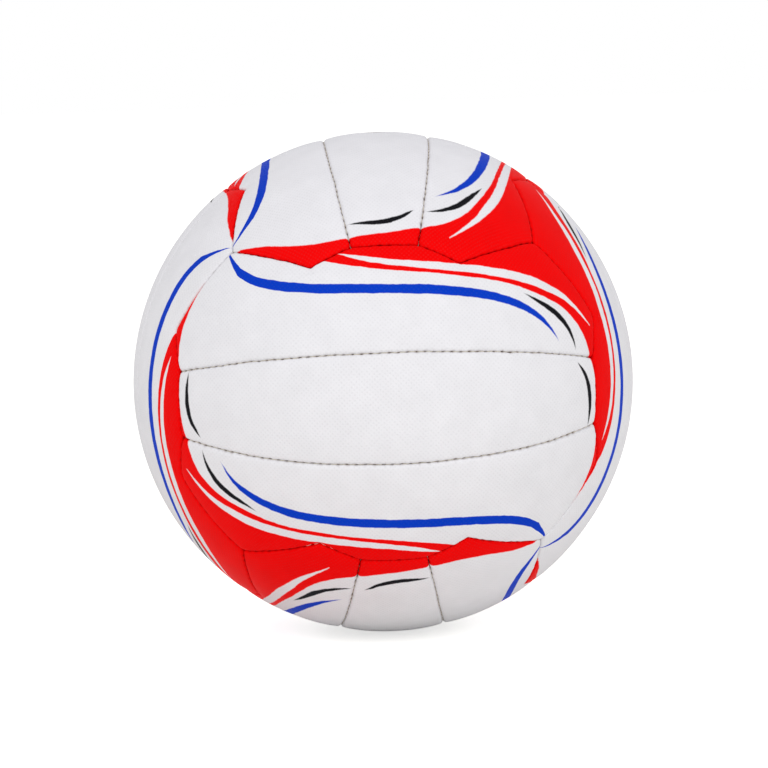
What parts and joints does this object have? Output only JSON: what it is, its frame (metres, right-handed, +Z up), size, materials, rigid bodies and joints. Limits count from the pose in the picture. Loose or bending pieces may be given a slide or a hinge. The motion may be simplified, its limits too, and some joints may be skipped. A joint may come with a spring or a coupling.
{
  "type": "netball",
  "caption": "Match netball of stitched grip panels in groups of three, with cloth linings, bladder and a removable valve core",
  "frame": {"origin": "centre of the ball", "axes": "+Z up through the valve; a group of three panels faces -Y with its panels along X"},
  "size_m": [0.2228, 0.2228, 0.2227],
  "materials": {
    "cover": "fine moulded grip grain, satin",
    "lining": "laminated polyester-cotton cloth",
    "thread": "waxed polyester thread",
    "bladder": "smooth",
    "patch": "matte",
    "valve": "smooth",
    "core": "smooth"
  },
  "bodies": {
    "ball": {"cover_front_upper": "cover", "cover_front_middle": "cover", "cover_front_lower": "cover", "cover_back_upper": "cover", "cover_back_middle": "cover", "cover_back_lower": "cover", "cover_left_rear": "cover", "cover_left_middle": "cover", "cover_left_fore": "cover", "cover_right_fore": "cover", "cover_right_middle": "cover", "cover_right_rear": "cover", "cover_top_left": "cover", "cover_top_middle": "cover", "cover_top_right": "cover", "cover_bottom_right": "cover", "cover_bottom_middle": "cover", "cover_bottom_left": "cover", "lining_front_upper": "lining", "lining_front_middle": "lining", "lining_front_lower": "lining", "lining_back_upper": "lining", "lining_back_middle": "lining", "lining_back_lower": "lining", "lining_left_rear": "lining", "lining_left_middle": "lining", "lining_left_fore": "lining", "lining_right_fore": "lining", "lining_right_middle": "lining", "lining_right_rear": "lining", "lining_top_left": "lining", "lining_top_middle": "lining", "lining_top_right": "lining", "lining_bottom_right": "lining", "lining_bottom_middle": "lining", "lining_bottom_left": "lining", "thread_front_panels": "thread", "thread_back_panels": "thread", "thread_left_panels": "thread", "thread_right_panels": "thread", "thread_top_panels": "thread", "thread_bottom_panels": "thread", "thread_front_to_top": "thread", "thread_front_to_bottom": "thread", "thread_back_to_top": "thread", "thread_back_to_bottom": "thread", "thread_left_to_back": "thread", "thread_left_to_front": "thread", "thread_right_to_front": "thread", "thread_right_to_back": "thread", "thread_top_to_left": "thread", "thread_top_to_right": "thread", "thread_bottom_to_right": "thread", "thread_bottom_to_left": "thread", "bladder": "bladder", "valve_patch": "patch", "balance_patch": "patch", "valve_body": "valve"},
    "valve_core": {"valve_core": "core"}
  },
  "joints": [
    {"name": "valve_core_pull", "type": "slide", "parent": "ball", "child": "valve_core", "axis": [0, 0, 1], "range_m": [0, 0.02]}
  ]
}
